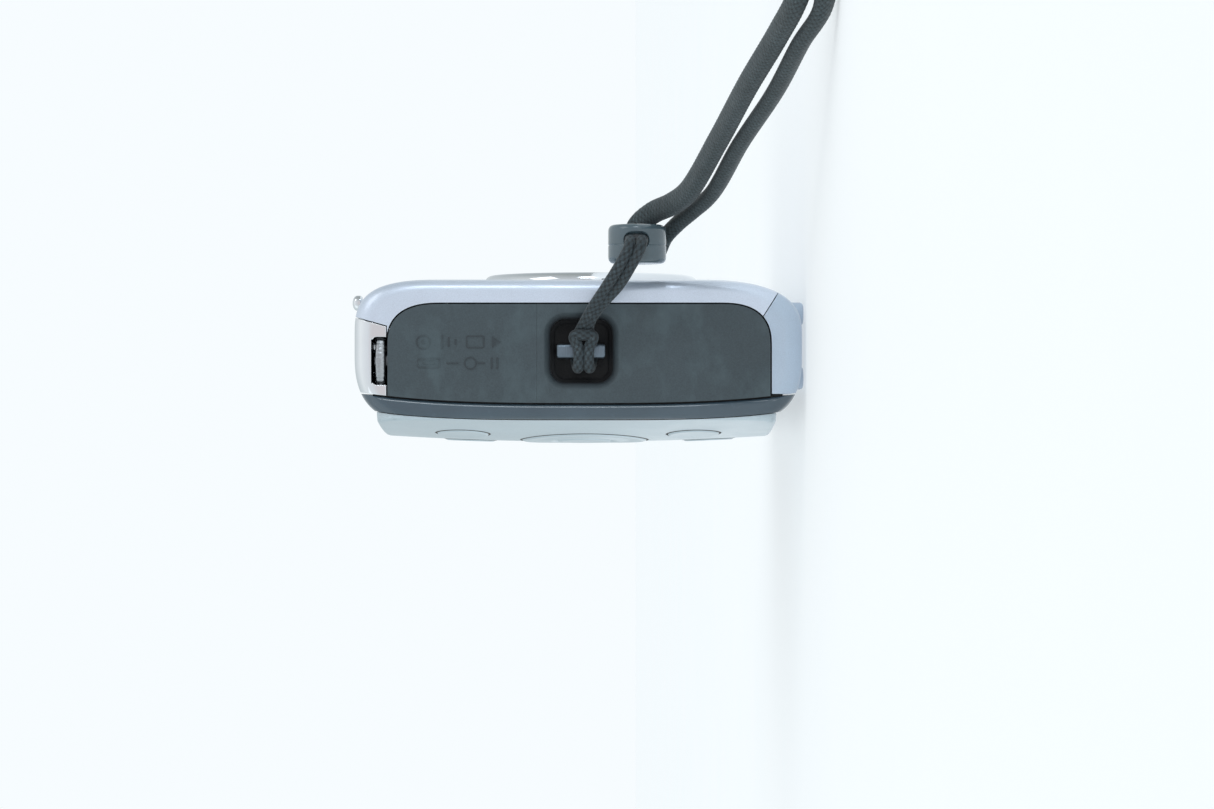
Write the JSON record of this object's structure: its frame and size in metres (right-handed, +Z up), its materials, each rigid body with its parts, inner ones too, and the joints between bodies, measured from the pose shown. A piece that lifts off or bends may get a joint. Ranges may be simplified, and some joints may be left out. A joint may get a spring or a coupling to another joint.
{
  "type": "compact digital camera",
  "caption": "Pocket digital still camera with a retracting lens, rear screen, base battery door, side terminal flap and a looped wrist strap on a recessed bar.",
  "frame": {"origin": "middle of the camera body's footprint on the plane its base feet stand on, strap left out", "axes": "+Z up, the lens looks along -Y, the screen faces +Y, and the grip end with the strap is at -X"},
  "size_m": [0.1619, 0.0908, 0.059],
  "materials": {
    "silver_cover": "satin metallic",
    "blue_silver_base": "satin metallic",
    "chrome": "polished",
    "dark_gloss": "polished",
    "dark_matte": "fine spark texture",
    "black_plastic": "matt",
    "steel": "brushed",
    "barrel_silver": "turned and anodised",
    "lens_glass": "coated",
    "screen_glass": "polished",
    "clear_plastic": "ribbed clear",
    "circuit_board": "solder mask",
    "battery_film": "film",
    "bead_gloss": "polished moulding",
    "strap_cord": "braided",
    "strap_webbing": "woven"
  },
  "bodies": {
    "camera_body": {"front_cover": "silver_cover", "rear_trim": "dark_gloss", "top_plate": "chrome", "bottom_plate": "blue_silver_base", "rear_cover": "silver_cover", "side_panel": "dark_matte", "strap_bar": "steel", "port_plate": "black_plastic", "av_jack": "steel", "usb_socket": "steel", "speaker": "black_plastic", "lens_ring": "chrome", "lens_housing": "black_plastic", "image_sensor": "screen_glass", "flash_window": "clear_plastic", "flash_reflector": "chrome", "flash_capacitor": "black_plastic", "af_lamp": "clear_plastic", "lcd_window": "screen_glass", "lcd_panel": "black_plastic", "battery": "battery_film", "battery_bay": "black_plastic", "memory_card": "circuit_board", "card_slot": "steel", "main_board": "circuit_board", "tripod_socket": "steel", "screw_base_1": "steel", "screw_base_2": "steel", "screw_end_1": "steel", "screw_end_2": "steel", "strap_bead": "bead_gloss", "strap_hitch": "strap_cord", "strap_loop": "strap_webbing"},
    "door": {"battery_door": "blue_silver_base"},
    "latch": {"door_latch": "dark_matte"},
    "flap": {"terminal_cover": "dark_matte"},
    "dial": {"mode_dial": "chrome"},
    "lever": {"zoom_lever": "chrome"},
    "shutter": {"shutter_button": "chrome"},
    "power": {"power_button": "steel"},
    "lens_outer": {"barrel_outer": "barrel_silver"},
    "lens_inner": {"barrel_inner": "barrel_silver", "front_lens": "lens_glass"},
    "blade_right": {"barrier_blade_right": "black_plastic"},
    "blade_left": {"barrier_blade_left": "black_plastic"},
    "ring": {"nav_ring": "silver_cover"},
    "set": {"set_button": "silver_cover"},
    "menu": {"button_menu": "silver_cover"},
    "display": {"button_display": "silver_cover"},
    "playback": {"button_playback": "silver_cover"},
    "print": {"button_print": "silver_cover"}
  },
  "joints": [
    {"name": "door_hinge", "type": "hinge", "parent": "camera_body", "child": "door", "pos_m": [-0.0058, 0, 0.0006], "axis": [0, -1, 0], "range_deg": [0, 95]},
    {"name": "latch_slide", "type": "slide", "parent": "door", "child": "latch", "axis": [1, 0, 0], "range_m": [0, 0.002]},
    {"name": "flap_hinge", "type": "hinge", "parent": "camera_body", "child": "flap", "pos_m": [-0.0455, 0.005, 0], "axis": [0, 0, -1], "range_deg": [0, 105]},
    {"name": "dial_turn", "type": "hinge", "parent": "camera_body", "child": "dial", "pos_m": [-0.04198, 0.00125, 0], "axis": [0, 0, 1], "range_deg": [-60, 60]},
    {"name": "lever_turn", "type": "hinge", "parent": "camera_body", "child": "lever", "pos_m": [-0.026, -0.001, 0], "axis": [0, 0, 1], "range_deg": [-18, 18], "stiffness_Nm_per_rad": 0.005},
    {"name": "shutter_press", "type": "slide", "parent": "camera_body", "child": "shutter", "axis": [0, 0, -1], "range_m": [0, 0.0008], "stiffness_N_per_m": 500},
    {"name": "power_press", "type": "slide", "parent": "camera_body", "child": "power", "axis": [0, 0, -1], "range_m": [0, 0.0004], "stiffness_N_per_m": 500},
    {"name": "lens_extend", "type": "slide", "parent": "camera_body", "child": "lens_outer", "axis": [0, -1, 0], "range_m": [0, 0.012]},
    {"name": "lens_inner_extend", "type": "slide", "parent": "lens_outer", "child": "lens_inner", "axis": [0, -1, 0], "range_m": [0, 0.008]},
    {"name": "blade_right_swing", "type": "hinge", "parent": "lens_inner", "child": "blade_right", "pos_m": [0.01, -0.0096, 0.0356], "axis": [0, -1, 0], "range_deg": [0, 32]},
    {"name": "blade_left_swing", "type": "hinge", "parent": "lens_inner", "child": "blade_left", "pos_m": [0.01, -0.0096, 0.0196], "axis": [0, -1, 0], "range_deg": [0, 32]},
    {"name": "ring_press", "type": "slide", "parent": "camera_body", "child": "ring", "axis": [0, -1, 0], "range_m": [0, 0.0003], "stiffness_N_per_m": 500},
    {"name": "set_press", "type": "slide", "parent": "camera_body", "child": "set", "axis": [0, -1, 0], "range_m": [0, 0.0003], "stiffness_N_per_m": 500},
    {"name": "menu_press", "type": "slide", "parent": "camera_body", "child": "menu", "axis": [0, -1, 0], "range_m": [0, 0.0003], "stiffness_N_per_m": 500},
    {"name": "display_press", "type": "slide", "parent": "camera_body", "child": "display", "axis": [0, -1, 0], "range_m": [0, 0.0003], "stiffness_N_per_m": 500},
    {"name": "playback_press", "type": "slide", "parent": "camera_body", "child": "playback", "axis": [0, -1, 0], "range_m": [0, 0.0003], "stiffness_N_per_m": 500},
    {"name": "print_press", "type": "slide", "parent": "camera_body", "child": "print", "axis": [0, -1, 0], "range_m": [0, 0.0003], "stiffness_N_per_m": 500}
  ],
  "couplings": [
    {"joint": "lens_inner_extend", "follows": "lens_extend", "ratio": 0.6667},
    {"joint": "blade_right_swing", "follows": "lens_extend", "rad_per_m": 46.54},
    {"joint": "blade_left_swing", "follows": "lens_extend", "rad_per_m": 46.54}
  ]
}
